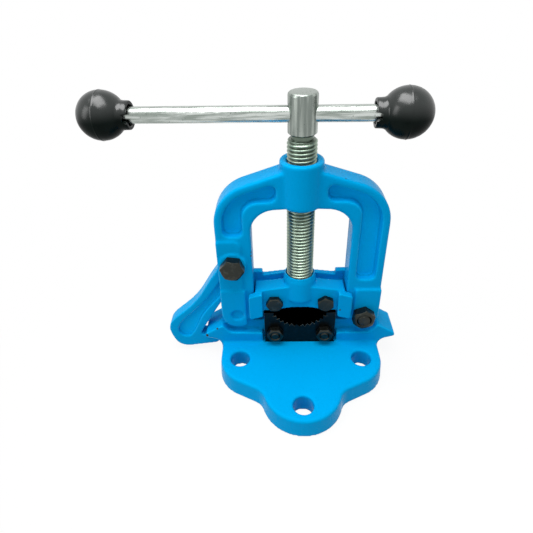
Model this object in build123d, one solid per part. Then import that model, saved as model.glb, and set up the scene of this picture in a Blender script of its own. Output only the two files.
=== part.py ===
from build123d import *
import math
import os

os.makedirs("parts", exist_ok=True)

# A bench pipe vise with a hinged yoke, in mm. X runs to the right, Y away from the viewer,
# Z up. The clamp screw's axis is X = 0, Y = 0, and the base stands on Z = 0.

# Clearances
RUN = 0.06          # radial, a shaft that turns or slides in its hole
EASY = 0.15         # beside a face that slides or is seated by hand
HOLE = 0.2          # radial, a bolt in the hole that it is passed through
LEAF = 0.3          # each side of an ear in its fork
SIDE_GAP = 1.7      # beside the lower jaw in its slot
SLIDE_GAP = 0.4     # before and behind the strips that the carrier slides on
WINDOW_GAP = 1.0    # beside the carrier in the yoke's window
LIP_GAP = 0.7       # under the wing, where the latch hooks on

# Base plate
PLATE = 15.0
PLATE_HALF = 61.5
PLATE_BACK = 11.6
LOBE_Y = -54.7
LOBE_R = 29.0
FOOT_R = 7.2
FOOT_X = 45.8
FOOT_Y = -28.1
FRONT_FOOT_Y = -69.5

# Base body, as half thicknesses along Y and heights
BODY = 11.6
RAIL_Z = 24.4
WEB = 5.6
WEB_Z = 33.0
WING = 12.4         # how far the wings reach beyond the plate
WING_Z = 20.7       # underside of a wing at its tip

# Hinge at the foot of each leg, and the latch's own pin
HINGE_X = 47.3
HINGE_Z = 42.6
EAR_R = 10.5
LUG = 11.0
LUG_R = 11.8
LATCH_X = -48.0
LATCH_Z = 89.5
BIG_BOLT = 9.525    # three eighths of an inch
BIG_FLATS = 15.2
BIG_TALL = 7.0      # the head and the nut
SMALL_BOLT = 6.35   # a quarter of an inch
SMALL_FLATS = 11.3
SMALL_HEAD = 4.2
SMALL_NUT = 5.4

# Yoke
LEG = 58.8
WINDOW = 34.2
STRIP = 40.3
FRAME = 8.9
ARCH_Z = 133.5
YOKE_BOSS_R = 14.3
YOKE_TOP = 164.8
POCKET = 5.4
LUG_TOP = 66.5
CHEEK = 10.0
CHEEK_TOP = 109.0
FORK_WALL = 36.4

# Jaws
JAW_HALF = 27.0
JAW_TOP = 45.5
JAW_GRIP = 24.7     # radius at the roots of the lower jaw's teeth
GRIP_Z = 55.9       # the middle of that arc
TOOTH = 2.4
LOWER_TEETH = 7     # on each side of the middle
UPPER_TEETH = 4
UPPER_TIP = 46.5
UPPER_HALF = 4.9
JAW_BOLT_X = 18.9
LOWER_BOLT_Z = 26.0
UPPER_BOLT_Z = 54.3

# Carrier of the upper jaw
WALL = 9.5
REAR = 14.0
BLOCK_LOW = 46.3
BLOCK_TOP = 64.8
ARCH_R = 55.0       # the arch over the pipe
ARCH_TOP = 49.5
SEAT_Z = 60.5       # top of the upper jaw and of the slot that takes it
CARRIER_BOSS_R = 12.8
CARRIER_TOP = 76.5
EAR_IN = 27.9
EAR_OUT = 37.9
EAR_Y = 14.5
EAR_LOW = 41.2

# Clamp screw and tommy bar
SCREW = 19.05       # three quarters of an inch over the thread
PAD = 2.4
JOURNAL_R = 8.0
GROOVE_R = 6.5
PIN_R = 1.4
PIN_Z = 65.5
THREAD_LOW = 74.2
THREAD = 103.8      # its length
NECK = 3.0
NECK_R = 7.0
HEAD = 25.3
HEAD_R = 9.1
BAR = 10.2
BAR_DEPTH = 13.1    # the bar's axis, under the top of the head
BAR_TURN = -3.2     # degrees about Z
LEFT_KNOB = -123.2
RIGHT_KNOB = 60.2
KNOB_R = 15.5
COLLAR_R = 9.0
COLLAR = 18.0
BAR_IN = 7.0        # how far the bar goes into a knob, past its middle


def rounded(*corners):
    """A closed flat outline from (x, y, radius) corners, each one rounded by its radius."""
    count = len(corners)
    edges = []
    ends = []
    for i in range(count):
        x, y, r = corners[i]
        before = corners[i - 1]
        after = corners[(i + 1) % count]
        corner = Vector(x, y)
        back = (Vector(before[0], before[1]) - corner).normalized()
        on = (Vector(after[0], after[1]) - corner).normalized()
        if r == 0:
            ends.append((corner, corner))
            continue
        half = math.radians(back.get_angle(on)) / 2
        reach = r / math.tan(half)
        middle = corner + (back + on).normalized() * (r / math.sin(half) - r)
        start = corner + back * reach
        end = corner + on * reach
        edges.append(ThreePointArc(start, middle, end))
        ends.append((start, end))
    for i in range(count):
        start = ends[i - 1][1]
        end = ends[i][0]
        if (end - start).length > 1e-6:
            edges.append(Line(start, end))
    face = make_face(edges).face()
    if face.normal_at().Z < 0:
        face = -face
    return Sketch() + face


def front(face, y_near, y_far):
    """Extrudes a face drawn in the front view, where its y is the height."""
    return extrude(Plane.XZ.offset(-y_far) * face, amount=y_far - y_near)


def both(shape):
    return shape + mirror(shape, about=Plane.YZ)


def along_y(radius, x, z, y_near, y_far):
    """A round bar along Y."""
    return front(Pos(x, z) * Circle(radius), y_near, y_far)


def upright(radius, z_low, z_high):
    return Pos(0, 0, z_low) * extrude(Circle(radius), amount=z_high - z_low)


def hexagon(flats, x, z, y_near, y_far):
    """A hexagon prism along Y, across its flats, with a corner at the top."""
    across = flats / math.cos(math.radians(30))
    return front(Pos(x, z) * RegularPolygon(across / 2, 6, rotation=30), y_near, y_far)


def face_edges(shape, y, above):
    """The edges that lie in the faces at -y and y, higher than a given height."""
    found = []
    for edge in shape.edges():
        box = edge.bounding_box()
        flat = box.size.Y < 1e-4 and abs(abs(box.min.Y) - y) < 1e-3
        if flat and box.max.Z > above:
            found.append(edge)
    return found


def save(shape, name):
    shape.label = name
    export_step(shape, "parts/" + name + ".step")


# base: one casting. A three-holed foot plate, a rail with a wing at each end for the latch
# to hook under, and a thin upright web that ends in the two hinge ears.
plate_face = rounded(
    (PLATE_HALF, PLATE_BACK, 4),
    (PLATE_HALF, -42.7, 26),
    (0, -73.4, 0),
    (-PLATE_HALF, -42.7, 26),
    (-PLATE_HALF, PLATE_BACK, 4),
)
plate_face = plate_face + Pos(0, LOBE_Y) * Circle(LOBE_R)
inlets = plate_face.vertices().filter_by(lambda v: 20 < abs(v.X) < 40)
plate_face = fillet(inlets, 12)
plate = mirror(extrude(plate_face, amount=-PLATE, taper=4), about=Plane.XY)
rim = plate.edges().group_by(Axis.Z)[-1]
base = fillet(rim, 2.2)
wing_tip = PLATE_HALF + WING
wing = rounded(
    (PLATE_HALF - 11.5, 2, 0),
    (PLATE_HALF, 2, 0),
    (PLATE_HALF, WING_Z - 3.9, 7.5),
    (wing_tip, WING_Z, 1.2),
    (wing_tip - 0.7, WING_Z + 3.5, 1.2),
    (PLATE_HALF - 1.7, WING_Z + 11.7, 1.8),
    (PLATE_HALF - 6.9, RAIL_Z + 0.8, 5),
    (PLATE_HALF - 11.5, RAIL_Z + 0.4, 0),
)
rail_end = JAW_HALF + SIDE_GAP
rail = rounded(
    (rail_end, 2, 0),
    (PLATE_HALF - 7.5, 2, 0),
    (PLATE_HALF - 7.5, RAIL_Z + 0.7, 0),
    (rail_end, RAIL_Z, 1.2),
)
body = front(wing + rail, -BODY, BODY)
base = base + both(body)
web_face = Pos(0, WEB_Z / 2 + 1) * Rectangle(2 * HINGE_X, WEB_Z - 2)
web_face = web_face - Pos(0, GRIP_Z) * Circle(JAW_GRIP + 4.3)
ear_face = Pos(HINGE_X, HINGE_Z) * Circle(EAR_R)
ear_face = ear_face + rounded(
    (HINGE_X - EAR_R, 20, 0),
    (HINGE_X + EAR_R, 20, 0),
    (HINGE_X + EAR_R, HINGE_Z, 0),
    (HINGE_X - EAR_R, HINGE_Z, 0),
)
base = base + front(web_face + both(ear_face), -WEB, WEB)
for x, y in ((FOOT_X, FOOT_Y), (-FOOT_X, FOOT_Y), (0, FRONT_FOOT_Y)):
    base = base - Pos(x, y, 0) * upright(FOOT_R, -1, PLATE + 1)
    base = base - Pos(x, y, PLATE - 1) * Solid.make_cone(FOOT_R, FOOT_R + 1.2, 1.2)
base = base - along_y(BIG_BOLT / 2 + RUN, HINGE_X, HINGE_Z, -WEB - 1, WEB + 1)
for x in (-JAW_BOLT_X, JAW_BOLT_X):
    base = base - along_y(SMALL_BOLT / 2 + HOLE, x, LOWER_BOLT_Z, -WEB - 1, WEB + 1)
save(base, "base")


def tooth_line(root_r, middle_z, flat_z, teeth):
    """Points along the teeth, from the left end to the right one. The roots lie on an arc
    about middle_z that fades into the jaw's flat edge, and no tip stands beyond that edge."""
    side = 1 if flat_z > middle_z else -1
    depth = abs(flat_z - middle_z)
    step = math.acos(depth / root_r) / teeth
    right = [(0, middle_z + side * root_r)]
    for i in range(teeth):
        tip = (i + 0.68) * step
        root = (i + 1) * step
        tip_r = max(root_r - TOOTH, depth / math.cos(tip))
        right.append((tip_r * math.sin(tip), middle_z + side * tip_r * math.cos(tip)))
        right.append((root_r * math.sin(root), middle_z + side * root_r * math.cos(root)))
    left = [(-x, z) for x, z in reversed(right[1:])]
    return left + right


# lower_jaw: a toothed steel saddle, dropped over the base's web and cross-bolted to it.
teeth = tooth_line(JAW_GRIP, GRIP_Z, JAW_TOP, LOWER_TEETH)
corners = [(-JAW_HALF, PLATE), (-JAW_HALF, JAW_TOP)] + teeth
corners = corners + [(JAW_HALF, JAW_TOP), (JAW_HALF, PLATE)]
lower_jaw = front(make_face(Polyline(*corners, close=True)), -BODY, BODY)
saddle = Rectangle(2 * JAW_HALF + 2, 2 * (WEB_Z + EASY))
saddle = saddle - Pos(0, GRIP_Z) * Circle(JAW_GRIP + 4)
lower_jaw = lower_jaw - front(saddle, -WEB - EASY, WEB + EASY)
for x in (-JAW_BOLT_X, JAW_BOLT_X):
    lower_jaw = lower_jaw - along_y(SMALL_BOLT / 2 + HOLE, x, LOWER_BOLT_Z, -BODY - 1, BODY + 1)
save(lower_jaw, "lower_jaw")


def bolt(size, flats, x, z, y_head, y_end, head):
    """A hexagon bolt along Y. Its head lies beyond y_head and its tip at y_end."""
    toward = 1 if y_end > y_head else -1
    low = min(y_head, y_end)
    high = max(y_head, y_end)
    shank = along_y(size / 2, x, z, low, high)
    tip = shank.faces().sort_by(Axis.Y)[-1 if toward > 0 else 0]
    shank = chamfer(tip.edges(), size * 0.09)
    if toward > 0:
        return shank + hexagon(flats, x, z, y_head - head, y_head)
    return shank + hexagon(flats, x, z, y_head, y_head + head)


def nut(size, flats, x, z, y_near, y_far):
    body = hexagon(flats, x, z, y_near, y_far)
    return body - along_y(size / 2 + RUN, x, z, y_near - 1, y_far + 1)


# lower_jaw_bolts and lower_jaw_nuts: two quarter-inch bolts from the back, nuts in front.
pair = [
    bolt(SMALL_BOLT, SMALL_FLATS, x, LOWER_BOLT_Z, BODY, -BODY - SMALL_NUT - 0.2, SMALL_HEAD)
    for x in (-JAW_BOLT_X, JAW_BOLT_X)
]
save(Compound(children=pair), "lower_jaw_bolts")
pair = [
    nut(SMALL_BOLT, SMALL_FLATS, x, LOWER_BOLT_Z, -BODY - SMALL_NUT, -BODY)
    for x in (-JAW_BOLT_X, JAW_BOLT_X)
]
save(Compound(children=pair), "lower_jaw_nuts")

# yoke: one I-section casting. A boss for the screw, two arms that come down as legs, each
# leg forked at its foot over a base ear, and the left one also forked for the latch.
ridge = YOKE_TOP - 1.8
slope = 0.34
frame_face = rounded(
    (0, ridge, 0),
    (LEG, ridge - slope * LEG, 30),
    (LEG, 55, 0),
    (WINDOW, 55, 0),
    (WINDOW, ARCH_Z - 2, 17),
    (0, ARCH_Z, 0),
    (-WINDOW, ARCH_Z - 2, 17),
    (-WINDOW, 55, 0),
    (-LEG, 55, 0),
    (-LEG, ridge - slope * LEG, 30),
)
yoke = front(frame_face, -FRAME, FRAME)
yoke = fillet(face_edges(yoke, FRAME, 56), 1.2)


def pocket(low):
    """The outline of the sunk web in one arm and leg, down to a given height."""
    top = ridge - 5.6
    outer = LEG - 5.2
    inner = YOKE_BOSS_R + 2.2
    return rounded(
        (STRIP - 0.6, low, 4.5),
        (outer, low, 4.5),
        (outer, top - slope * outer, 24.5),
        (inner, top - slope * inner, 4),
        (inner, ARCH_Z + 5, 5),
        (STRIP - 0.6, ARCH_Z + 4, 11),
    )


hollows = pocket(LUG_TOP + 7.5) + mirror(pocket(CHEEK_TOP + 3), about=Plane.YZ)
front_hollow = extrude(Plane.XZ.offset(FRAME) * hollows, amount=-POCKET, taper=8)
yoke = yoke - front_hollow - mirror(front_hollow, about=Plane.XZ)
boss = upright(YOKE_BOSS_R, ARCH_Z, YOKE_TOP)
boss = fillet(boss.edges().group_by(Axis.Z)[-1], 1.2)
yoke = yoke + boss
lug_face = Pos(HINGE_X, HINGE_Z) * Circle(LUG_R)
lug_face = lug_face + rounded(
    (STRIP, HINGE_Z - 8, 0),
    (HINGE_X, HINGE_Z - 8, 0),
    (HINGE_X, HINGE_Z, 0),
    (HINGE_X + LUG_R, HINGE_Z, 0),
    (HINGE_X + LUG_R, LUG_TOP, 1.2),
    (STRIP, LUG_TOP, 0),
)
lug_face = lug_face & Pos(STRIP + 20, HINGE_Z + 7) * Rectangle(40, 60)
lug = front(lug_face, -LUG, LUG)
strip = front(
    rounded((WINDOW, 37, 2), (STRIP + 1, 37, 0), (STRIP + 1, 60, 0), (WINDOW, 60, 0)),
    -FRAME,
    FRAME,
)
yoke = yoke + both(lug + strip)
cheek = front(
    rounded((-LEG, 60, 0), (-STRIP - 1.5, 60, 0), (-STRIP - 1.5, CHEEK_TOP, 5), (-LEG, CHEEK_TOP, 1)),
    -CHEEK,
    CHEEK,
)
yoke = yoke + cheek + along_y(BIG_FLATS / 2 + 2.2, LATCH_X, LATCH_Z, -LUG, LUG)
far = LEG + 12
for side, slot_top in ((-1, LATCH_Z + 13.5), (1, HINGE_Z + 12.4)):
    slot_face = rounded((far, 0, 0), (FORK_WALL, 0, 0), (FORK_WALL, slot_top, 3), (far, slot_top, 0))
    slot = front(slot_face, -WEB - LEAF, WEB + LEAF)
    if side < 0:
        slot = mirror(slot, about=Plane.YZ)
    yoke = yoke - slot
yoke = yoke - along_y(BIG_BOLT / 2 + RUN, HINGE_X, HINGE_Z, -LUG - 1, LUG + 1)
yoke = yoke - along_y(BIG_BOLT / 2 + HOLE, LATCH_X, LATCH_Z, -LUG - 1, LUG + 1)
for y_near, y_far in ((-LUG - 1, -LUG + 2), (LUG - 2, LUG + 1)):
    yoke = yoke - along_y(BIG_BOLT / 2, -HINGE_X, HINGE_Z, y_near, y_far)
yoke = yoke - upright(SCREW / 2 + RUN, ARCH_Z - 10, YOKE_TOP + 1)
mouth = Solid.make_cone(SCREW / 2, SCREW / 2 + 2.5, 2.5)
yoke = yoke - Pos(0, 0, YOKE_TOP - 1.4) * mouth
save(yoke, "yoke")

# hinge_bolt and hinge_nut: the pin on which the yoke swings, head at the back.
hinge_tip = -LUG - BIG_TALL - 0.4
save(bolt(BIG_BOLT, BIG_FLATS, HINGE_X, HINGE_Z, LUG + EASY, hinge_tip, BIG_TALL), "hinge_bolt")
save(nut(BIG_BOLT, BIG_FLATS, HINGE_X, HINGE_Z, -LUG - BIG_TALL, -LUG - EASY), "hinge_nut")

# latch_hook: swings in the left leg's fork and hooks under the base's wing. Its web is
# sunk between rims. The lip's top is an arc about the latch's own pin.
EYE_R = 11.0
HOOK = WEB - 0.1
edge_x = -PLATE_HALF
lip_r = math.hypot(LATCH_X + wing_tip, LATCH_Z - WING_Z) + LIP_GAP


def lip(out):
    """A point of the lip's top, a given way out from the plate's edge."""
    x = edge_x - out
    return x, LATCH_Z - math.sqrt(lip_r ** 2 - (x - LATCH_X) ** 2)


eye_left = (LATCH_X - EYE_R, LATCH_Z)
eye_top = (LATCH_X + EYE_R * 0.28, LATCH_Z + EYE_R * 0.96)
eye_right = (LATCH_X + EYE_R * 0.96, LATCH_Z - EYE_R * 0.28)
heel = (edge_x - 27.6, 5.0)
toe = (edge_x - 6.0, 8.2)
nose = (edge_x - 2.5, 13.2)
throat = (edge_x - 16.5, 19.6)
outer_edge = Spline(
    eye_left,
    (LATCH_X - 17.2, LATCH_Z - 15.0),
    (LATCH_X - 29.0, LATCH_Z - 34.0),
    (edge_x - 29.6, 40.8),
    (edge_x - 41.5, 26.3),
    (edge_x - 39.6, 13.7),
    heel,
    tangents=[(0, -1), (1, -0.02)],
)
inner_edge = Spline(
    eye_right,
    (LATCH_X - 12.4, LATCH_Z - 39.3),
    (edge_x - 9.3, 32.8),
    throat,
    tangents=[(-0.4, -1), (-0.42, -1)],
)
hook_face = make_face(
    [
        outer_edge,
        Line(heel, toe),
        ThreePointArc(toe, (edge_x - 3.3, 10.0), nose),
        ThreePointArc(nose, (edge_x - 3.2, 15.6), lip(5.3)),
        ThreePointArc(lip(5.3), lip(8.9), lip(12.5)),
        ThreePointArc(lip(12.5), (edge_x - 14.9, 17.0), throat),
        inner_edge,
        ThreePointArc(eye_right, eye_top, eye_left),
    ]
)
hook = front(hook_face, -HOOK, HOOK)
sunk_top = (LATCH_X - 8, LATCH_Z - 12.5)
sunk_side = (edge_x - 34.6, 24.5)
sunk_low = (edge_x - 26.5, 15.6)
sunk_end = (LATCH_X - 2, LATCH_Z - 15.5)
sunk = make_face(
    [
        Spline(
            sunk_top,
            (LATCH_X - 11.8, LATCH_Z - 19.2),
            (LATCH_X - 22.4, LATCH_Z - 34.3),
            (edge_x - 23.4, 39.3),
            (edge_x - 31.7, 30.2),
            sunk_side,
        ),
        ThreePointArc(sunk_side, (edge_x - 32.8, 17.0), sunk_low),
        Spline(
            sunk_low,
            (edge_x - 22.2, 21.0),
            (edge_x - 14.6, 36.5),
            (LATCH_X - 12.8, LATCH_Z - 33.0),
            sunk_end,
        ),
        Line(sunk_end, sunk_top),
    ]
)
sunk = sunk - Pos(LATCH_X, LATCH_Z) * Circle(EYE_R + 6)
hollow = front(sunk, -HOOK - 1, -HOOK + 2.9)
hook = hook - hollow - mirror(hollow, about=Plane.XZ)
hook = hook - along_y(BIG_BOLT / 2 + RUN, LATCH_X, LATCH_Z, -HOOK - 1, HOOK + 1)
save(hook, "latch_hook")

# latch_bolt and latch_nut: the latch's pin, head in front, nut behind.
latch_tip = LUG + BIG_TALL + 1.5
save(bolt(BIG_BOLT, BIG_FLATS, LATCH_X, LATCH_Z, -LUG, latch_tip, BIG_TALL), "latch_bolt")
save(nut(BIG_BOLT, BIG_FLATS, LATCH_X, LATCH_Z, LUG, LUG + BIG_TALL), "latch_nut")

# jaw_carrier: slides in the yoke's window. Ears in front and a plate behind hold it to the
# strips, and a groove between block and plate keeps the casting thin.
half = WINDOW - WINDOW_GAP
slide = FRAME + SLIDE_GAP
arch = Pos(0, ARCH_TOP - ARCH_R) * Circle(ARCH_R)
block_face = rounded(
    (-0.5, BLOCK_LOW, 0),
    (half, BLOCK_LOW, 1.5),
    (half, BLOCK_TOP, 1.5),
    (CARRIER_BOSS_R - 3, BLOCK_TOP + 3.6, 0),
    (-0.5, BLOCK_TOP + 3.6, 0),
)
carrier = front(both(block_face) - arch, -WALL, slide + 1)
groove_face = rounded(
    (2.5, 90, 0),
    (2.5, BLOCK_TOP + 0.8, 1.5),
    (slide - 2.8, BLOCK_TOP - 2.6, 1),
    (slide - 2.8, SEAT_Z, 0),
    (slide, SEAT_Z, 0),
    (slide, 90, 0),
)
carrier = carrier - extrude(Plane.YZ * groove_face, amount=half + 1, both=True)
plate_face = rounded(
    (-0.5, BLOCK_LOW, 0),
    (EAR_OUT, BLOCK_LOW, 2.5),
    (EAR_OUT, BLOCK_TOP + 4.5, 1.5),
    (EAR_IN, BLOCK_TOP + 4.5, 1),
    (EAR_IN, BLOCK_TOP + 0.6, 1),
    (-0.5, BLOCK_TOP + 4.2, 0),
)
ear_face = rounded(
    (EAR_IN, EAR_LOW + 3, 1.5),
    (EAR_OUT, EAR_LOW, 2),
    (EAR_OUT, BLOCK_TOP - 2, 2),
    (EAR_IN, BLOCK_TOP + 0.9, 1),
)
carrier = carrier + front(both(plate_face) - arch, slide, REAR)
carrier = carrier + both(front(ear_face, -EAR_Y, -slide))
boss_low = UPPER_BOLT_Z - 0.6
boss_face = make_face(
    [
        Line((0, boss_low), (WALL - 1, boss_low)),
        ThreePointArc(
            (WALL - 1, boss_low),
            (CARRIER_BOSS_R - 1.2, boss_low + 1.1),
            (CARRIER_BOSS_R, boss_low + 4),
        ),
        Line((CARRIER_BOSS_R, boss_low + 4), (CARRIER_BOSS_R - 1, CARRIER_TOP - 4.2)),
        Line((CARRIER_BOSS_R - 1, CARRIER_TOP - 4.2), (SCREW / 2 + 1.2, CARRIER_TOP)),
        Line((SCREW / 2 + 1.2, CARRIER_TOP), (0, CARRIER_TOP)),
        Line((0, CARRIER_TOP), (0, boss_low)),
    ]
)
carrier = carrier + revolve(Plane.XZ * boss_face, Axis.Z)
jaw_slot = UPPER_HALF + 0.1
carrier = carrier - Pos(0, 0, SEAT_Z / 2) * Box(3 * half, 2 * jaw_slot, SEAT_Z)
carrier = carrier - upright(JOURNAL_R + RUN, SEAT_Z - 1, CARRIER_TOP + 1)
carrier = carrier - upright(SCREW / 2 + 0.6, THREAD_LOW - 0.6, CARRIER_TOP + 1)
pin_x = GROOVE_R + PIN_R + RUN
pin_near = -WALL + 2.5
for x in (-pin_x, pin_x):
    carrier = carrier - along_y(PIN_R, x, PIN_Z, pin_near, REAR + 1)
for x in (-JAW_BOLT_X, JAW_BOLT_X):
    carrier = carrier - along_y(SMALL_BOLT / 2 + HOLE, x, UPPER_BOLT_Z, -WALL - 1, REAR + 1)
save(carrier, "jaw_carrier")

# upper_jaw: a toothed steel plate, held in the carrier's slot by two bolts.
teeth = tooth_line(ARCH_R - 0.8, ARCH_TOP - ARCH_R, UPPER_TIP, UPPER_TEETH)
corners = [(-JAW_HALF, SEAT_Z), (-JAW_HALF, UPPER_TIP)] + teeth
corners = corners + [(JAW_HALF, UPPER_TIP), (JAW_HALF, SEAT_Z)]
upper_jaw = front(make_face(Polyline(*corners, close=True)), -UPPER_HALF, UPPER_HALF)
for x in (-JAW_BOLT_X, JAW_BOLT_X):
    hole = along_y(SMALL_BOLT / 2 + HOLE, x, UPPER_BOLT_Z, -UPPER_HALF - 1, UPPER_HALF + 1)
    upper_jaw = upper_jaw - hole
save(upper_jaw, "upper_jaw")

# upper_jaw_bolts and upper_jaw_nuts: heads in front, nuts behind.
pair = [
    bolt(SMALL_BOLT, SMALL_FLATS, x, UPPER_BOLT_Z, -WALL, REAR + SMALL_NUT + 1.1, SMALL_HEAD)
    for x in (-JAW_BOLT_X, JAW_BOLT_X)
]
save(Compound(children=pair), "upper_jaw_bolts")
pair = [
    nut(SMALL_BOLT, SMALL_FLATS, x, UPPER_BOLT_Z, REAR, REAR + SMALL_NUT)
    for x in (-JAW_BOLT_X, JAW_BOLT_X)
]
save(Compound(children=pair), "upper_jaw_nuts")

# thrust_pad: a hardened disc under the screw's end, on the seat above the upper jaw.
save(upright(JOURNAL_R, SEAT_Z, SEAT_Z + PAD), "thrust_pad")

# retaining_pins: two pins driven in from the back, in the screw's groove, so that the
# screw lifts the carrier as it is backed out.
pair = [along_y(PIN_R, x, PIN_Z, pin_near, pin_near + 15.6) for x in (-pin_x, pin_x)]
save(Compound(children=pair), "retaining_pins")

# clamp_screw: grooved journal, thread drawn at its full diameter, neck and cross-bored head.
groove = PIN_R + RUN
foot = SEAT_Z + PAD + RUN
thread_top = THREAD_LOW + THREAD
head_low = thread_top + NECK
head_top = head_low + HEAD
bar_z = head_top - BAR_DEPTH
profile = Polyline(
    (0, foot),
    (JOURNAL_R - 0.6, foot),
    (JOURNAL_R, foot + 0.6),
    (JOURNAL_R, PIN_Z - groove),
    (GROOVE_R, PIN_Z - groove),
    (GROOVE_R, PIN_Z + groove),
    (JOURNAL_R, PIN_Z + groove),
    (JOURNAL_R, THREAD_LOW),
    (SCREW / 2 - 1, THREAD_LOW),
    (SCREW / 2, THREAD_LOW + 1),
    (SCREW / 2, thread_top - 1.2),
    (SCREW / 2 - 1.2, thread_top),
    (NECK_R, thread_top),
    (NECK_R, head_low),
    (HEAD_R - 1.2, head_low),
    (HEAD_R, head_low + 1.2),
    (HEAD_R, head_top - 2.1),
    (HEAD_R - 1.6, head_top),
    (0, head_top),
    close=True,
)
screw = revolve(Plane.XZ * make_face(profile), Axis.Z)
bar_frame = Pos(0, 0, bar_z) * Rot(0, 0, BAR_TURN) * Rot(0, 90, 0)
screw = screw - bar_frame * extrude(Circle(BAR / 2 + RUN), amount=2 * HEAD_R, both=True)
for turn in (0, 180):
    cone = Solid.make_cone(BAR / 2, BAR / 2 + 1.6, 2.4)
    flare = Rot(turn, 0, 0) * Pos(0, 0, HEAD_R - 1.5) * cone
    screw = screw - bar_frame * flare
save(screw, "clamp_screw")

# tommy_bar: slides through the head. Its ends stop inside the knobs.
bar = extrude(Circle(BAR / 2), amount=RIGHT_KNOB - LEFT_KNOB + 2 * BAR_IN)
bar = chamfer(bar.edges(), 0.8)
save(bar_frame * Pos(0, 0, LEFT_KNOB - BAR_IN) * bar, "tommy_bar")


def knob(at, side):
    """A ball with a short split collar towards the head. side 1 has the head on its right."""
    ball = Sphere(KNOB_R) + extrude(Circle(COLLAR_R), amount=COLLAR)
    ball = ball - Pos(0, 0, -BAR_IN - 0.2) * extrude(Circle(BAR / 2), amount=3 * KNOB_R)
    ball = ball - Pos(0, 0, KNOB_R - 2) * extrude(Circle(BAR / 2 + 1.3), amount=COLLAR)
    ball = ball - Pos(0, -COLLAR_R, COLLAR) * Box(6, 9, 6)
    if side < 0:
        ball = Rot(180, 0, 0) * ball
    return bar_frame * Pos(0, 0, at) * ball


save(knob(LEFT_KNOB, 1), "left_knob")
save(knob(RIGHT_KNOB, -1), "right_knob")
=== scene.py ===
import math

import bmesh
import bpy
import numpy as np
from mathutils import Matrix, Vector


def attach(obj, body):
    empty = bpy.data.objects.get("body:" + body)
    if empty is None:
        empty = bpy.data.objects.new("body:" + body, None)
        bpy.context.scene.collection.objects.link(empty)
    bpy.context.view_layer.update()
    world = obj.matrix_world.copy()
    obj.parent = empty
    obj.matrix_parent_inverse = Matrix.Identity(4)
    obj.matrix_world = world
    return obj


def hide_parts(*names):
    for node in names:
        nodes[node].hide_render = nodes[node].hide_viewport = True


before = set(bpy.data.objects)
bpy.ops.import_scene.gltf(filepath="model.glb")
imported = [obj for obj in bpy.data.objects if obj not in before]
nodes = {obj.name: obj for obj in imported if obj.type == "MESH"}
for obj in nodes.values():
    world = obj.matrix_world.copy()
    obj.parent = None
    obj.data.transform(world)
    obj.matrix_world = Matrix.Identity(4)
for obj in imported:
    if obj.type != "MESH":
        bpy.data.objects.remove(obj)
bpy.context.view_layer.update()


# Base casting: one iron foot plate with three bolt holes, a rail with a wing at each end, and
# two hinge ears. Cast, fettled and dipped in thick glossy sky-blue paint. Small chips show
# brown metal at the wing under the latch.

BLUE, BLUE_CLOUD = (0.0, 0.335, 0.71), (0.0, 0.375, 0.79)
BLUE_SPECK = (0.0, 0.28, 0.60)
# The first colour on the next line is a painted highlight for the edges.
BLUE_EDGE_HIGHLIGHT, BLUE_SHEEN = (0.0, 0.52, 0.98), (0.0, 0.6, 1.0)
# Painted shade for the corners.
BLUE_CORNER_SHADE = (0.0, 0.18, 0.42)
BLUE_FLOOR = (0.0, 0.48, 0.98)
BARE_IRON = (0.04, 0.027, 0.017)
RAGGED_MM, RAG_GRAIN_MM = 1.2, 10 / 9
CRISP_EDGE_MM, CRISP_FADE_MM = 0.7, 6


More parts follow.
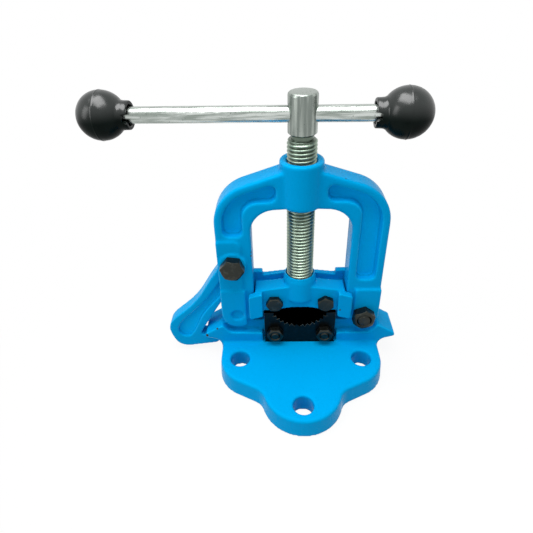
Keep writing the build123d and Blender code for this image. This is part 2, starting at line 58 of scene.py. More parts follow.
class Finish:
    """A material under way: its node tree, and short ways to add nodes to it. A value is a
    number, a colour or vector, or the output of another node."""

    def __init__(self, name):
        self.mat = bpy.data.materials.new(name)
        self.mat.use_nodes = True
        self.tree = self.mat.node_tree
        self.shader = self.tree.nodes["Principled BSDF"]
        self.coord = self.add("TexCoord").outputs["Object"]

    def add(self, kind, **settings):
        """A new node of the given kind and settings."""
        node = self.tree.nodes.new("ShaderNode" + kind)
        for key, value in settings.items():
            setattr(node, key, value)
        return node

    def join(self, source, socket):
        """Links an output to a socket, or sets the socket where a number or colour is given."""
        if isinstance(source, bpy.types.NodeSocket):
            self.tree.links.new(source, socket)
        elif isinstance(source, tuple) and len(socket.default_value) == 4:
            socket.default_value = (*source, 1)
        else:
            socket.default_value = source

    def noise(self, size_mm, detail=2.0, rough=0.5, stretch=None, turn=(0, 0, 0), out="Fac"):
        """Noise whose lumps are about size_mm across, drawn out where stretch is small."""
        node = self.add("TexNoise")
        node.inputs["Scale"].default_value = 1000 / size_mm
        node.inputs["Detail"].default_value = detail
        node.inputs["Roughness"].default_value = rough
        where = self.coord
        if stretch:
            mapping = self.add("Mapping")
            mapping.inputs["Rotation"].default_value = turn
            mapping.inputs["Scale"].default_value = stretch
            self.join(where, mapping.inputs["Vector"])
            where = mapping.outputs["Vector"]
        self.join(where, node.inputs["Vector"])
        return node.outputs[out]

    def surface(self, what):
        """The surface's Normal, or its Pointiness: over 0.5 on edges, under it in corners."""
        return self.add("NewGeometry").outputs[what]

    def rounding(self, radius_mm):
        """The normal that sharp edges would have if they were rounded."""
        node = self.add("Bevel", samples=8)
        node.inputs["Radius"].default_value = radius_mm / 1000
        return node.outputs["Normal"]

    def ramp(self, value, low, high, to_low=0.0, to_high=1.0):
        """A smooth step from to_low, where the value is low or less, up or down to to_high."""
        node = self.add("MapRange", interpolation_type="SMOOTHSTEP")
        names = ("Value", "From Min", "From Max", "To Min", "To Max")
        for name, number in zip(names, (value, low, high, to_low, to_high)):
            self.join(number, node.inputs[name])
        return node.outputs["Result"]

    def ramp_mm(self, value, low_mm, high_mm, to_low=0.0, to_high=1.0):
        """The same step over a length, with its ends in mm."""
        return self.ramp(value, low_mm / 1000, high_mm / 1000, to_low, to_high)

    def math(self, what, a, b):
        """One operation on two numbers."""
        node = self.add("Math", operation=what)
        self.join(a, node.inputs[0])
        self.join(b, node.inputs[1])
        return node.outputs["Value"]

    def times(self, product, *others):
        """All the numbers multiplied."""
        for other in others:
            product = self.math("MULTIPLY", product, other)
        return product

    def vector(self, what, *values):
        """One operation on vectors, which gives a vector, a length or a dot product."""
        node = self.add("VectorMath", operation=what)
        for value, socket in zip(values, node.inputs):
            self.join(value, socket)
        one_number = what in ("LENGTH", "DISTANCE", "DOT_PRODUCT")
        return node.outputs["Value" if one_number else "Vector"]

    def part(self, vector, axis):
        """A vector's X, Y or Z."""
        apart = self.add("SeparateXYZ")
        self.join(vector, apart.inputs[0])
        return apart.outputs[axis]

    def away_from_middle(self, vector):
        """How far a place or a direction goes to the front or back: its Y without a sign."""
        return self.math("ABSOLUTE", self.part(vector, "Y"), 0.0)

    def mix(self, factor, a, b):
        """A blend from a, at factor 0, to b, at factor 1."""
        node = self.add("Mix", data_type="RGBA")
        self.join(factor, node.inputs["Factor"])
        colours = [s for s in node.inputs if s.type == "RGBA"]
        self.join(a, colours[0])
        self.join(b, colours[1])
        return [s for s in node.outputs if s.type == "RGBA"][0]

    def bump(self, height, strength, depth_mm, normal=None):
        """A normal tilted by the slopes of a height, where a height of 1 is depth_mm."""
        node = self.add("Bump")
        node.inputs["Strength"].default_value = strength
        node.inputs["Distance"].default_value = depth_mm / 1000
        self.join(height, node.inputs["Height"])
        if normal is not None:
            self.join(normal, node.inputs["Normal"])
        return node.outputs["Normal"]

    def set(self, **values):
        """Sets the shader's sockets, with _ for a space in their names."""
        for key, value in values.items():
            self.join(value, self.shader.inputs[key.replace("_", " ")])


def chip_spot(m, x, y, z, radius):
    """1 inside a chip of the given place and radius in mm, 0 outside. It is ragged, because
    noise from 0 to 1 shifts each point by up to RAGGED_MM, and the place by half of that."""
    grain = m.noise(RAG_GRAIN_MM, out="Color")
    shifted = m.vector("MULTIPLY_ADD", grain, (RAGGED_MM / 1000,) * 3, m.coord)
    middle = tuple((v + RAGGED_MM / 2) / 1000 for v in (x, y, z))
    return m.ramp_mm(m.vector("DISTANCE", shifted, middle), radius * 0.8, radius, 1.0, 0.0)


def sky_blue(name, edge_mm, chips=(), sunk_to=0.0, crisp_below=None):
    """Thick sky-blue paint over a casting: sand-cast lumps under a smooth skin, with a painted
    highlight that makes it paler along the edges, where it is also glossier, painted shade
    that darkens the corners, and small brown chips. Edges look rounded by edge_mm, or by
    less under a height of crisp_below. Faces to the front or back that are nearer the middle
    plane than sunk_to are the as-cast floors of the pockets, with their sand grain. Lengths
    are in mm."""
    m = Finish(name)
    tone = m.mix(m.noise(40, 3), BLUE, BLUE_CLOUD)
    speck = m.ramp(m.noise(1.1, 1), 0.62, 0.72)
    tone = m.mix(m.times(speck, 0.3), tone, BLUE_SPECK)
    soft = m.rounding(edge_mm)
    if crisp_below:
        high = m.ramp_mm(m.part(m.coord, "Z"), crisp_below - CRISP_FADE_MM, crisp_below)
        soft = m.mix(high, m.rounding(CRISP_EDGE_MM), soft)
    bend = m.surface("Pointiness")
    edge = m.ramp(bend, 0.51, 0.56)
    corner_shade = m.ramp(bend, 0.43, 0.49, 1.0, 0.0)
    # Painted highlight: the paint is paler along the edges.
    tone = m.mix(m.times(edge, 0.45), tone, BLUE_EDGE_HIGHLIGHT)
    # Painted shade: the paint is darker in the corners.
    tone = m.mix(m.times(corner_shade, 0.7), tone, BLUE_CORNER_SHADE)
    height = m.math("ADD", m.noise(2.4, 2), m.times(m.noise(0.8, 1), 0.35))
    if sunk_to:
        deep = m.ramp_mm(m.away_from_middle(m.coord), sunk_to - 1, sunk_to, 1.0, 0.0)
        to_front = m.ramp(m.away_from_middle(soft), 0.75, 0.95)
        pocket_floor = m.times(deep, to_front)
        tone = m.mix(m.times(pocket_floor, 0.7), tone, BLUE_FLOOR)
        sand = m.times(m.noise(1.4, 3, 0.7), pocket_floor, 2.6)
        height = m.math("ADD", height, sand)
    rough = m.ramp(m.noise(9, 2), 0.3, 0.7, 0.22, 0.34)
    for chip in chips:
        bare = chip_spot(m, *chip)
        tone = m.mix(bare, tone, BARE_IRON)
        rough = m.math("MAXIMUM", rough, m.times(bare, 0.8))
        height = m.math("SUBTRACT", height, m.times(bare, 1.5))
    gloss = m.ramp(bend, 0.515, 0.57, 0.03, 0.7)
    m.set(Base_Color=tone, Roughness=rough, Normal=m.bump(height, 0.5, 0.13, soft))
    m.set(Specular_IOR_Level=gloss, Specular_Tint=BLUE_SHEEN)
    return m.mat


def dress(node, material):
    """Gives a carried-over solid its material."""
    nodes[node].data.materials.clear()
    nodes[node].data.materials.append(material)


def cast_round(node, grain_mm, rounds):
    """Rounds a casting's edges and corners for real: the solid is filled with cubes of
    grain_mm, and each point of their skin moves halfway to its neighbours' middle, rounds
    times."""
    skin = nodes[node].modifiers.new("skin", "REMESH")
    skin.mode = "VOXEL"
    skin.voxel_size = grain_mm / 1000
    skin.use_smooth_shade = True
    even = nodes[node].modifiers.new("even", "SMOOTH")
    even.factor = 0.5
    even.iterations = rounds


# Each chip is x, y, z and radius in mm.
BASE_CHIPS = ((-72.9, -11.6, 22.4, 1.5), (-64.0, -11.2, 29.3, 0.9), (37.9, -7.8, 15.0, 0.6))
dress("base", sky_blue("paint_base", 1.1, BASE_CHIPS))
cast_round("base", 0.7, 4)


# Lower jaw: a hardened steel saddle with a hollow row of broached teeth, oil-blackened, and
# dropped over the base's web. Its teeth are in the solid.

SADDLE_HALF = 11.6
JAW_BLACK, JAW_ROUGH = (0.015, 0.018, 0.018), 0.36
# Near black and a dark reflection tint: oil and painted shade on the tooth flanks.
OIL_AND_SHADE_BLACK, OIL_AND_SHADE_TINT = (0.002, 0.0026, 0.0026), (0.05, 0.06, 0.06)
# Wear and a painted highlight on the tooth ends.
WORN_HIGHLIGHT = (0.20, 0.22, 0.20)


def blackened(name, colour, rough, lump_mm=1.0, teeth_to=0.0):
    """Blackened steel: a dark metal that mirrors a little of what is round it, with a fine
    skin and paler rubbed places. Where teeth reach to a distance in mm before and behind the
    middle, faces that do not look to the front or back are near black with dark reflections,
    for oil and painted shade, and the tooth edges near the ends are paler here and there, for
    wear and a painted highlight."""
    m = Finish(name)
    rubbed = m.ramp(m.noise(4, 4, 0.6), 0.5, 0.78)
    tone = m.mix(rubbed, colour, tuple(c * 1.7 for c in colour))
    soft = m.rounding(0.35)
    if teeth_to:
        facing = m.surface("Normal")
        # Oil and painted shade: faces that do not look to the front or back turn near black,
        # with dark reflections.
        oil_and_shade_face = m.ramp(m.away_from_middle(facing), 0.4, 0.6, 1.0, 0.0)
        tone = m.mix(oil_and_shade_face, tone, OIL_AND_SHADE_BLACK)
        # Wear and painted highlight: tooth edges near the front and back are paler here and
        # there.
        edge = m.ramp(m.vector("DOT_PRODUCT", soft, facing), 0.8, 0.96, 1.0, 0.0)
        end = m.ramp_mm(m.away_from_middle(m.coord), teeth_to - 1.1, teeth_to - 0.4)
        worn_highlight = m.times(edge, end, m.ramp(m.noise(5, 2), 0.4, 0.55))
        tone = m.mix(worn_highlight, tone, WORN_HIGHLIGHT)
        m.set(Specular_Tint=m.mix(oil_and_shade_face, (1.0, 1.0, 1.0), OIL_AND_SHADE_TINT))
    fine = m.noise(lump_mm, 2)
    fine_rough = m.ramp(fine, 0.3, 0.7, rough - 0.05, rough + 0.08)
    m.set(Base_Color=tone, Metallic=1.0, Roughness=fine_rough)
    m.set(Normal=m.bump(fine, 0.4, 0.06, soft))
    return m.mat


lower_steel = blackened("lower_jaw_steel", JAW_BLACK, JAW_ROUGH, teeth_to=SADDLE_HALF)
dress("lower_jaw", lower_steel)


# Lower jaw bolts and nuts: two quarter-inch hexagon bolts from the back with black oxide on
# them, and nuts in front. The crowns are turned off at 30 degrees, and threads are cut.

scene = bpy.context.scene

# A fastener's size, width across the flats and pitch, in mm.
QUARTER_INCH = (6.35, 11.3, 1.27)
SMALL_HEAD, SMALL_NUT = 4.2, 5.4
JAW_BOLT_X, LOWER_Z, LOWER_TIP = 18.9, 26.0, -17.2
BOLT_THREAD = 12
WASHER_FACE = 0.25


def quads_of(points):
    """Vertices and faces of a grid of points, shaped (rows, columns, 3), whose last column
    joins the first."""
    rows, columns = points.shape[:2]
    index = np.arange(rows * columns).reshape(rows, columns)
    index = np.hstack([index, index[:, :1]])
    faces = np.stack([index[:-1, :-1], index[1:, :-1], index[1:, 1:], index[:-1, 1:]], axis=-1)
    return points.reshape(-1, 3), faces.reshape(-1, 4)


def ring_grid(radius, height, around):
    """Points at radius and height (rows by columns) and at even angles about Z: x and y are
    the radius times the angle's cosine and sine."""
    angle = np.linspace(0, 2 * math.pi, around, endpoint=False)[None, :]
    radius, height = np.broadcast_arrays(radius, height)
    radius = np.broadcast_to(radius, (radius.shape[0], around))
    height = np.broadcast_to(height, radius.shape)
    return np.stack([radius * np.cos(angle), radius * np.sin(angle), height], axis=-1)


def turned(profile, around=96):
    """A turned surface: each (radius, height) of the profile becomes a ring about Z."""
    profile = np.array(profile, float)
    return quads_of(ring_grid(profile[:, :1], profile[:, 1:], around))


def hexagon(flats, rows, turn=0.0, around=96):
    """A hexagonal prism about Z. Each row is (radius, height), and the radius at an angle is
    the smaller of the row's and of half the flats over the cosine of the angle from the
    nearest flat's middle. turn is in degrees."""
    rows = np.array(rows, float)
    angle = np.linspace(0, 2 * math.pi, around, endpoint=False)
    from_flat = np.mod(angle - math.radians(turn), math.pi / 3) - math.pi / 6
    side = flats / 2 / np.cos(from_flat)
    return quads_of(ring_grid(np.minimum(rows[:, :1], side[None, :]), rows[:, 1:], around))


def threaded(radius, pitch, low, high, steps=14, around=96, bevel=1.1):
    """A right-hand threaded rod about Z, with steps rows to a pitch. The fall from the crest
    at a point goes with its phase, which is height over pitch less the share of a turn: none
    over the flat crest, then a straight flank, then a quarter sine into the root, which is
    0.55 of the pitch deep. Both ends are bevelled down and closed."""
    rows = int((high - low) / pitch * steps) + 1
    height = np.linspace(low, high, rows)[:, None]
    share = np.linspace(0, 1, around, endpoint=False)[None, :]
    phase = np.mod(height / pitch - share, 1)
    fall = np.clip((np.abs(phase - 0.5) * 2 - 0.14) / 0.76, 0, 1)
    fall = np.where(fall > 0.8, 0.8 + 0.2 * np.sin((fall - 0.8) * 2.5 * math.pi), fall)
    r = radius - 0.55 * pitch * fall
    r = np.minimum(r, radius - bevel + (height - low) * 0.9)
    r = np.minimum(r, radius - bevel + (high - height) * 0.9)
    r = np.vstack([np.zeros((1, around)), r, np.zeros((1, around))])
    height = np.vstack([[[low]], height, [[high]]])
    return quads_of(ring_grid(r, height, around))


def moved(grid, matrix):
    """The grid turned and shifted by a matrix in millimetres."""
    verts, faces = grid
    m = np.array(matrix)
    return verts @ m[:3, :3].T + m[:3, 3], faces


def close_up(mesh, sharp=35):
    """Merges points that coincide, drops faces with no area, turns the rest outward, and
    shades them smooth up to the angle of sharp degrees."""
    bm = bmesh.new()
    bm.from_mesh(mesh)
    bmesh.ops.remove_doubles(bm, verts=bm.verts, dist=1e-7)
    bmesh.ops.dissolve_degenerate(bm, edges=bm.edges, dist=1e-8)
    bmesh.ops.recalc_face_normals(bm, faces=bm.faces)
    bm.to_mesh(mesh)
    bm.free()
    mesh.shade_smooth()
    mesh.set_sharp_from_angle(angle=math.radians(sharp))


def make_mesh(name, grids, material, sharp=35):
    """A closed mesh in metres from grids in millimetres."""
    verts = np.vstack([v for v, f in grids])
    starts = np.cumsum([0] + [len(v) for v, f in grids[:-1]])
    faces = np.vstack([f + start for (v, f), start in zip(grids, starts)])
    mesh = bpy.data.meshes.new(name)
    mesh.from_pydata((verts / 1000).tolist(), [], faces.tolist())
    mesh.materials.append(material)
    close_up(mesh, sharp)
    return mesh


def place(mesh, body, node=None):
    """The mesh as a piece at the origin that rides on a body and may replace a solid."""
    piece = bpy.data.objects.new(mesh.name, mesh)
    scene.collection.objects.link(piece)
    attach(piece, body)
    if node:
        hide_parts(node)


def along_y(x, z, seat, toward):
    """Lays a piece made about Z along Y, from its seat toward -1 or 1."""
    return Matrix.Translation((x, seat, z)) @ Matrix.Rotation(-toward * math.pi / 2, 4, "X")


def crown(flats, tall):
    """Rows of a turned-off end: a flat disc, then a cone of 30 degrees out past the corners."""
    out = np.linspace(0, flats * 0.13, 9)
    return [(0.45 * flats + d, tall - 0.577 * d) for d in out]


def tool_rings(flats, tall):
    """Rows of a head's flat disc: four shallow turned rings, a cosine wave out from the
    middle, 0.07 mm deep."""
    out = np.linspace(0, 0.44, 34)
    return [(r * flats, tall - 0.035 * (1 - math.cos(r * 2 * math.pi / 0.11))) for r in out]


def bolt(kind, x, z, seat, toward, head, tip, turn=0.0):
    """A hexagon head that stands off its seat toward -1 or 1, with a washer face under it,
    and a shank with a thread at its far end, y = tip."""
    size, flats, pitch = kind
    underside = [(flats, WASHER_FACE), (0.48 * flats, 0), (0, 0)]
    rows = tool_rings(flats, head) + crown(flats, head) + underside
    reach = abs(tip - seat)
    plain = reach - BOLT_THREAD
    shank = turned([(0, 0.01), (size / 2, 0.01), (size / 2, plain), (0, plain)], 48)
    thread = threaded(size / 2, pitch, plain - 0.3, reach, 8, 48, 0.7)
    return [
        moved(hexagon(flats, rows, turn), along_y(x, z, seat, toward)),
        moved(shank, along_y(x, z, seat, -toward)),
        moved(thread, along_y(x, z, seat, -toward)),
    ]


def nut(kind, x, z, seat, toward, tall, turn=0.0):
    """A hexagon nut whose bore is countersunk in front."""
    size, flats, _ = kind
    bore = size / 2 + 0.05
    inner = [(bore, 0.3), (bore, tall - 0.9), (bore + 0.75, tall)]
    underside = [(flats, WASHER_FACE), (0.48 * flats, 0), (bore + 0.2, 0), (bore, 0.3)]
    rows = inner + crown(flats, tall) + underside
    return [moved(hexagon(flats, rows, turn), along_y(x, z, seat, toward))]


oxide = blackened("black_oxide", (0.036, 0.039, 0.034), 0.36, lump_mm=0.7)


def fit(name, grids, body, node):
    """Blackened fasteners as one piece, in place of a solid."""
    place(make_mesh(name, grids, oxide), body, node)


bolts, nuts = [], []
for x, turn in ((-JAW_BOLT_X, 1), (JAW_BOLT_X, 3)):
    bolts += bolt(QUARTER_INCH, x, LOWER_Z, SADDLE_HALF, 1, SMALL_HEAD, LOWER_TIP)
    nuts += nut(QUARTER_INCH, x, LOWER_Z, -SADDLE_HALF, -1, SMALL_NUT, turn)
fit("lower_bolts_piece", bolts, "base", "lower_jaw_bolts")
fit("lower_nuts_piece", nuts, "base", "lower_jaw_nuts")


# Yoke: one I-section iron casting with a boss for the screw, forked at both feet over the
# base's ears, and painted like the base. It swings on the right ear. The floors of its
# pockets are as cast, and its legs have small crisp steps low down.

YOKE_CHIPS = (
    (-34.4, -8.7, 99.5, 0.7),
    (-34.4, -8.7, 96.5, 0.8),
    (-34.4, -8.8, 92.0, 0.6),
    (27.4, -7.0, 154.0, 0.7),
)
dress("yoke", sky_blue("paint_yoke", 2.8, YOKE_CHIPS, sunk_to=5.0, crisp_below=110))
cast_round("yoke", 0.7, 5)


# Hinge bolt and nut: a three-eighths hexagon bolt of blackened steel, put in from the back
# through the yoke's right fork and the ear in it, with the nut in front. The yoke turns on it.

THREE_EIGHTHS = (9.525, 15.2, 1.5875)
BIG_TALL = 7.0
LUG_HALF = 11.0
HINGE = (47.3, 42.6)
HINGE_SEAT, HINGE_TIP, HINGE_NUT_TALL = LUG_HALF + 0.15, -18.4, BIG_TALL - 0.15
hinge_bolt = bolt(THREE_EIGHTHS, *HINGE, HINGE_SEAT, 1, BIG_TALL, HINGE_TIP)
hinge_nut = nut(THREE_EIGHTHS, *HINGE, -HINGE_SEAT, -1, HINGE_NUT_TALL, 21)
fit("hinge_bolt_piece", hinge_bolt, "base", "hinge_bolt")
fit("hinge_nut_piece", hinge_nut, "base", "hinge_nut")


# Latch: a hooked iron casting with a sunk web, painted like the rest. It hangs on another
# three-eighths bolt, put in from the front, in the fork of the yoke's left leg.

LATCH = (-48.0, 89.5)
LATCH_TIP = 19.5
dress("latch_hook", sky_blue("paint_latch", 1.6, sunk_to=4.0))
cast_round("latch_hook", 0.6, 6)
latch_bolt = bolt(THREE_EIGHTHS, *LATCH, -LUG_HALF, -1, BIG_TALL, LATCH_TIP, -8)
latch_nut = nut(THREE_EIGHTHS, *LATCH, LUG_HALF, 1, BIG_TALL, 10)
fit("latch_bolt_piece", latch_bolt, "yoke", "latch_bolt")
fit("latch_nut_piece", latch_nut, "yoke", "latch_nut")


# Jaw carrier: the iron casting that the screw pushes down, with a boss round the screw's
# foot, painted like the rest. Ears in front of the yoke's legs and a plate behind guide it.

CARRIER_CHIPS = ((-11.8, -7.5, 73.0, 0.8), (29.2, -14.5, 50.7, 0.7))
dress("jaw_carrier", sky_blue("paint_carrier", 0.8, CARRIER_CHIPS))
cast_round("jaw_carrier", 0.5, 4)


# Upper jaw: a hardened and blackened steel plate with an arc of teeth, in the carrier's slot.
# Two quarter-inch bolts from the front hold it, with nuts behind.

JAW_PLATE_HALF = 4.9
CARRIER_FRONT, CARRIER_REAR = 9.5, 14.0
UPPER_Z, UPPER_TIP = 54.3, 20.5
upper_steel = blackened("upper_jaw_steel", JAW_BLACK, JAW_ROUGH, teeth_to=JAW_PLATE_HALF)
dress("upper_jaw", upper_steel)
bolts, nuts = [], []
for x, turn in ((-JAW_BOLT_X, 2), (JAW_BOLT_X, 35)):
    bolts += bolt(QUARTER_INCH, x, UPPER_Z, -CARRIER_FRONT, -1, SMALL_HEAD, UPPER_TIP, turn)
    nuts += nut(QUARTER_INCH, x, UPPER_Z, CARRIER_REAR, 1, SMALL_NUT, turn)
fit("upper_bolts_piece", bolts, "carrier", "upper_jaw_bolts")
fit("upper_nuts_piece", nuts, "carrier", "upper_jaw_nuts")


# Thrust pad and retaining pins: small pieces of ground and hardened steel inside the carrier.
# The pad takes the screw's push, and the two pins in the screw's groove lift the carrier.

def plated(name, bright, dull, line_mm, stretch, turn=(0, 0, 0), rough=(0.22, 0.36),
           grain=0.25, roots=None, ended=False):
    """Zinc plate or ground steel: metal between a bright and a dull tone, in lines drawn out
    along the piece, with a mottled sheen and a few dark specks. A thread's roots, given by
    their radius and the crests' in mm, are darker than its crests, for oil and painted shade.
    An upright piece that is ended square has a plainer top, where the lines would show as
    spots."""
    m = Finish(name)
    lines = m.noise(line_mm, 3, 0.6, stretch, turn)
    if ended:
        top = m.ramp(m.part(m.surface("Normal"), "Z"), 0.6, 0.9)
        plain = m.times(top, m.math("ADD", 0.5, m.times(m.noise(1.2, 2), 0.12)))
        lines = m.math("ADD", plain, m.times(lines, m.math("SUBTRACT", 1.0, top)))
    mottle = m.noise(2.6, 3)
    tone = m.mix(m.ramp(lines, 0.36, 0.64), dull, bright)
    specks = m.ramp(m.noise(1.0, 2), 0.67, 0.74)
    tone = m.mix(specks, tone, tuple(c * 0.45 for c in dull))
    # Oil and painted shade: the thread's roots are darker than its crests.
    if roots:
        from_axis = m.vector("LENGTH", m.vector("MULTIPLY", m.coord, (1.0, 1.0, 0.0)))
        low = m.ramp_mm(from_axis, *roots, 1.0, 0.0)
        tone = m.mix(m.times(low, 0.75), tone, tuple(c * 0.3 for c in dull))
    m.set(Base_Color=tone, Metallic=1.0, Roughness=m.ramp(mottle, 0.3, 0.7, *rough))
    height = m.math("ADD", lines, m.times(mottle, 0.5))
    m.set(Normal=m.bump(height, grain, 0.05, m.rounding(0.25)))
    return m.mat


ground = plated("ground_steel", (0.42, 0.42, 0.41), (0.34, 0.34, 0.33), 3.0, (1, 1, 1))
dress("thrust_pad", ground)
dress("retaining_pins", ground)


# Clamp screw: a three-quarter inch rod with a rolled thread of ten to the inch, a turned neck
# and a head that is bored across for the bar. Zinc-plated, a little greener on the thread.

SCREW_R, PITCH, ROOT_R = 9.525, 2.54, 8.3
FOOT_Z, THREAD_LOW, THREAD_TOP = 62.96, 74.2, 178.0
JOURNAL_R, GROOVE_R, GROOVE_LOW, GROOVE_TOP = 8, 6.5, 64.04, 66.96
NECK_R = 7
HEAD_LOW, HEAD_TOP, HEAD_R = 181.0, 206.3, 9.1
HEAD_BEVEL, CORNER_OUT, CORNER_UP = 1.2, 1.6, 2.0
BAR_Z, BAR_TURN = 193.2, math.radians(-3.2)
BORE_R, FLARE_R = 5.16, 7.2

thread_zinc = plated(
    "zinc_thread", (0.34, 0.43, 0.345), (0.25, 0.325, 0.26), 5.0, (1, 1, 0.4),
    rough=(0.28, 0.34), grain=0.0, roots=(ROOT_R, SCREW_R - 0.175),
)
journal = [
    (0, FOOT_Z), (JOURNAL_R - 0.6, FOOT_Z), (JOURNAL_R, FOOT_Z + 0.6),
    (JOURNAL_R, GROOVE_LOW), (GROOVE_R, GROOVE_LOW), (GROOVE_R, GROOVE_TOP),
    (JOURNAL_R, GROOVE_TOP), (JOURNAL_R, THREAD_LOW + 0.1), (0, THREAD_LOW + 0.1),
]
neck = [
    (0, THREAD_TOP - 0.1), (NECK_R, THREAD_TOP - 0.1),
    (NECK_R, HEAD_LOW + 0.1), (0, HEAD_LOW + 0.1),
]
rod = [threaded(SCREW_R, PITCH, THREAD_LOW, THREAD_TOP), turned(journal), turned(neck)]
place(make_mesh("screw_thread", rod, thread_zinc, 50), "screw", "clamp_screw")

head_zinc = plated(
    "zinc_head", (0.38, 0.42, 0.385), (0.20, 0.23, 0.21), 2.4, (1, 1, 0.05),
    rough=(0.26, 0.4), grain=0.3, ended=True,
)
quarter = np.linspace(math.pi / 2, 0, 9)
corner_r = HEAD_R - CORNER_OUT + CORNER_OUT * np.sin(quarter)
corner_z = HEAD_TOP - CORNER_UP + CORNER_UP * np.cos(quarter)
head_outline = [
    (0, HEAD_LOW), (HEAD_R - HEAD_BEVEL, HEAD_LOW), (HEAD_R, HEAD_LOW + HEAD_BEVEL),
    *zip(corner_r, corner_z), (0, HEAD_TOP),
]
half_bore = [(FLARE_R, 14), (FLARE_R, 10.2), (BORE_R, 7.4)]
bore_outline = [
    (0, -14), *((r, -h) for r, h in half_bore), *reversed(half_bore), (0, 14),
]
across = (
    Matrix.Translation((0, 0, BAR_Z))
    @ Matrix.Rotation(BAR_TURN, 4, "Z")
    @ Matrix.Rotation(math.pi / 2, 4, "Y")
)


def blank(name, grid):
    """A loose body for boring the head, which is taken away again afterwards."""
    body = bpy.data.objects.new(name, make_mesh(name, [grid], head_zinc))
    scene.collection.objects.link(body)
    return body


head = blank("head_blank", turned(head_outline, 128))
drill = blank("drill", moved(turned(bore_outline, 64), across))
cut = head.modifiers.new("bar_hole", "BOOLEAN")
cut.operation = "DIFFERENCE"
cut.solver = "EXACT"
cut.object = drill
bpy.context.view_layer.update()
cut_head = head.evaluated_get(bpy.context.evaluated_depsgraph_get())
bored = bpy.data.meshes.new_from_object(cut_head)
bored.name = "screw_head"
for body in (head, drill):
    bpy.data.objects.remove(body)
close_up(bored)
place(bored, "screw")


# Tommy bar: a cold-drawn round steel bar that slides in the head's bore. Zinc-plated, with
# drawing lines along it.

bar_zinc = plated(
    "zinc_bar", (0.62, 0.66, 0.63), (0.28, 0.32, 0.29), 2.0, (0.05, 1, 1),
    turn=(0, 0, -BAR_TURN), rough=(0.2, 0.38), grain=0.35,
)
dress("tommy_bar", bar_zinc)


# Knobs: hollow balls moulded in black plastic and pushed on the bar's ends. Each has a seam
# round its middle and a short collar, split in two places, that shows the bar in its mouth.

KNOB_R, SEAM_SWELL, SEAM_WIDTH = 15.25, 0.0155, 0.022
COLLAR_R, COLLAR_FOOT = 9.0, 14.9
COLLAR = [
    (COLLAR_R, 13.2), (8.85, 15.0), (8.75, 17.6), (8.4, 18.0),
    (6.9, 18.0), (6.5, 17.6), (6.4, 13.6), (5.2, 13.5),
]
# Each split's middle in degrees and half width in radians.
SPLITS = ((268, 0.36), (92, 0.30))
# Each knob's name, the side that its collar faces, the place of its middle along the bar, and
# the solid that it replaces.
KNOBS = (("knob_left", 1, -123.2, "left_knob"), ("knob_right", -1, 60.2, "right_knob"))
PLASTIC, PLASTIC_WORN = (0.003, 0.0062, 0.0052), (0.0052, 0.0095, 0.008)


def moulded(name):
    """Black plastic with a satin skin: slow waves, fine grain and faint wipe marks. Its upper
    side reflects more and its underside less: a painted reflection and shade for how light
    falls."""
    m = Finish(name)
    slow = m.noise(8, 2)
    tone = m.mix(m.ramp(slow, 0.4, 0.7), PLASTIC, PLASTIC_WORN)
    rough = m.ramp(m.noise(5, 3), 0.3, 0.7, 0.2, 0.3)
    # Painted reflection and shade: the upper side reflects more, the underside less.
    painted_top_reflection = m.ramp(m.part(m.surface("Normal"), "Z"), -0.1, 0.6, 0.04, 0.6)
    height = m.math("ADD", slow, m.times(m.noise(0.7, 2), 0.15))
    m.set(Base_Color=tone, Roughness=rough, Specular_IOR_Level=painted_top_reflection)
    m.set(Normal=m.bump(height, 0.35, 0.25))
    return m.mat


def ball_and_collar(side, at, around=128):
    """A ball whose radius swells by a narrow bell curve at its equator, then the collar's
    outside, mouth and bore. Where an angle lies in a split, the collar sinks nearly to its
    foot."""
    t = np.linspace(math.pi, math.asin(COLLAR_R / KNOB_R) + 0.06, 150)
    swell = 1 + SEAM_SWELL * np.exp(-((t - math.pi / 2) / SEAM_WIDTH) ** 2)
    ball = np.stack([KNOB_R * np.sin(t) * swell, KNOB_R * np.cos(t) * swell], axis=-1)
    profile = np.vstack([ball, COLLAR])
    angle = np.linspace(0, 2 * math.pi, around, endpoint=False)
    split = np.zeros(around)
    for middle, half in SPLITS:
        off = np.abs(np.angle(np.exp(1j * (angle - math.radians(middle)))))
        split = np.maximum(split, np.clip((half - off) / 0.07, 0, 1))
    height = np.broadcast_to(profile[:, 1:], (len(profile), around))
    sunk = COLLAR_FOOT + (height - COLLAR_FOOT) * (1 - 0.93 * split)
    height = np.where(height > COLLAR_FOOT, sunk, height)
    where = across @ Matrix.Translation((0, 0, at))
    if side < 0:
        where = where @ Matrix.Rotation(math.pi, 4, "X")
    return moved(quads_of(ring_grid(profile[:, :1], height, around)), where)


black_plastic = moulded("black_plastic")
for name, side, at, node in KNOBS:
    ball_end = make_mesh(name, [ball_and_collar(side, at)], black_plastic, 40)
    place(ball_end, "bar", node)


# Floor: a plain white sheet. It looks white to the camera and in the plating, keeps a faint
# shadow under the plate, and fades to pure white away from it.

FLOOR_HALF_M, FLOOR_Z_M = 3, -0.0003
FLOOR_LIT, FLOOR_SEEN = (0.5, 0.5, 0.5), (0.9, 0.9, 0.9)


def straight_rays(tree):
    """1 for what the camera, metal or glass sees, and 0 for the light that objects get."""
    ray = tree.nodes.new("ShaderNodeLightPath")
    seen = ray.outputs["Is Camera Ray"]
    for kind in ("Is Glossy Ray", "Is Transmission Ray"):
        either = tree.nodes.new("ShaderNodeMath")
        either.operation = "MAXIMUM"
        tree.links.new(seen, either.inputs[0])
        tree.links.new(ray.outputs[kind], either.inputs[1])
        seen = either.outputs["Value"]
    return seen


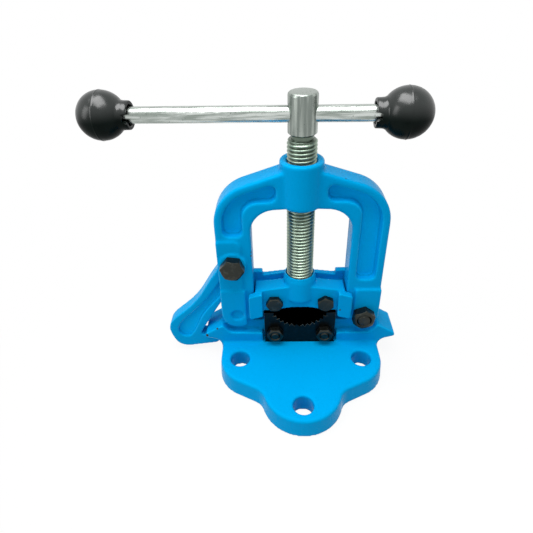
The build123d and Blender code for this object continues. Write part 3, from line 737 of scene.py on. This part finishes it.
sheet = bpy.data.meshes.new("floor")
signs = ((-1, -1), (1, -1), (1, 1), (-1, 1))
corners = [(x * FLOOR_HALF_M, y * FLOOR_HALF_M, FLOOR_Z_M) for x, y in signs]
sheet.from_pydata(corners, [], [(0, 1, 2, 3)])
floor = bpy.data.objects.new("floor", sheet)
scene.collection.objects.link(floor)
paper = Finish("paper")
seen = straight_rays(paper.tree)
shade = paper.mix(seen, FLOOR_LIT, FLOOR_SEEN)
paper.set(Base_Color=shade, Roughness=0.9, Specular_IOR_Level=0.1)
white = paper.ramp(paper.vector("LENGTH", paper.coord), 0.08, 0.26, 0.92, 1.0)
glow = paper.add("Emission")
blend = paper.add("MixShader")
paper.join(paper.times(seen, white), blend.inputs[0])
paper.join(paper.shader.outputs[0], blend.inputs[1])
paper.join(glow.outputs[0], blend.inputs[2])
paper.join(blend.outputs[0], paper.tree.nodes["Material Output"].inputs["Surface"])
sheet.materials.append(paper.mat)


# Light: a white room that lights the vise at less than half of what it shows, a wide soft box
# above it and a smaller one at the left.

ROOM_LIT, ROOM_SEEN = 0.43, 1.0
VISE_MIDDLE = Vector((0, 0, 0.1))

room = bpy.data.worlds.new("room")
room.use_nodes = True
scene.world = room
walls = room.node_tree.nodes["Background"]
walls.inputs["Color"].default_value = (1, 1, 1, 1)
level = room.node_tree.nodes.new("ShaderNodeMapRange")
level.inputs["To Min"].default_value = ROOM_LIT
level.inputs["To Max"].default_value = ROOM_SEEN
room.node_tree.links.new(straight_rays(room.node_tree), level.inputs["Value"])
room.node_tree.links.new(level.outputs["Result"], walls.inputs["Strength"])


def softbox(name, spot, size, power):
    """A rectangular soft light at a spot, turned to the vise."""
    data = bpy.data.lights.new(name, "AREA")
    data.shape = "RECTANGLE"
    data.size, data.size_y = size
    data.energy = power
    lamp = bpy.data.objects.new(name, data)
    lamp.location = spot
    lamp.rotation_mode = "QUATERNION"
    lamp.rotation_quaternion = (VISE_MIDDLE - Vector(spot)).to_track_quat("-Z", "Y")
    scene.collection.objects.link(lamp)


softbox("above", (-0.1, -0.1, 0.9), (0.7, 0.5), 7.3)
softbox("left", (-0.8, -0.35, 0.45), (0.3, 0.6), 1.8)


# Camera: a steady camera in front of the vise and above it, where the photograph was taken
# from. Its place, lens and turn are worked out from the vise's known sizes.

view = bpy.data.cameras.new("camera")
view.sensor_width = 36
view.lens = 29.614
view.shift_x = 0.0140
view.shift_y = -0.0510
view.clip_start = 0.02
camera = bpy.data.objects.new("camera", view)
right = Vector((0.99904, 0.02610, -0.03513))
up = Vector((0.01506, 0.54854, 0.83599))
aim = Matrix((right, up, right.cross(up))).transposed()
camera.rotation_mode = "QUATERNION"
camera.rotation_quaternion = aim.to_quaternion()
camera.location = (-0.01634, -0.25827, 0.27397)
scene.collection.objects.link(camera)
scene.camera = camera
scene.view_settings.view_transform = "Standard"
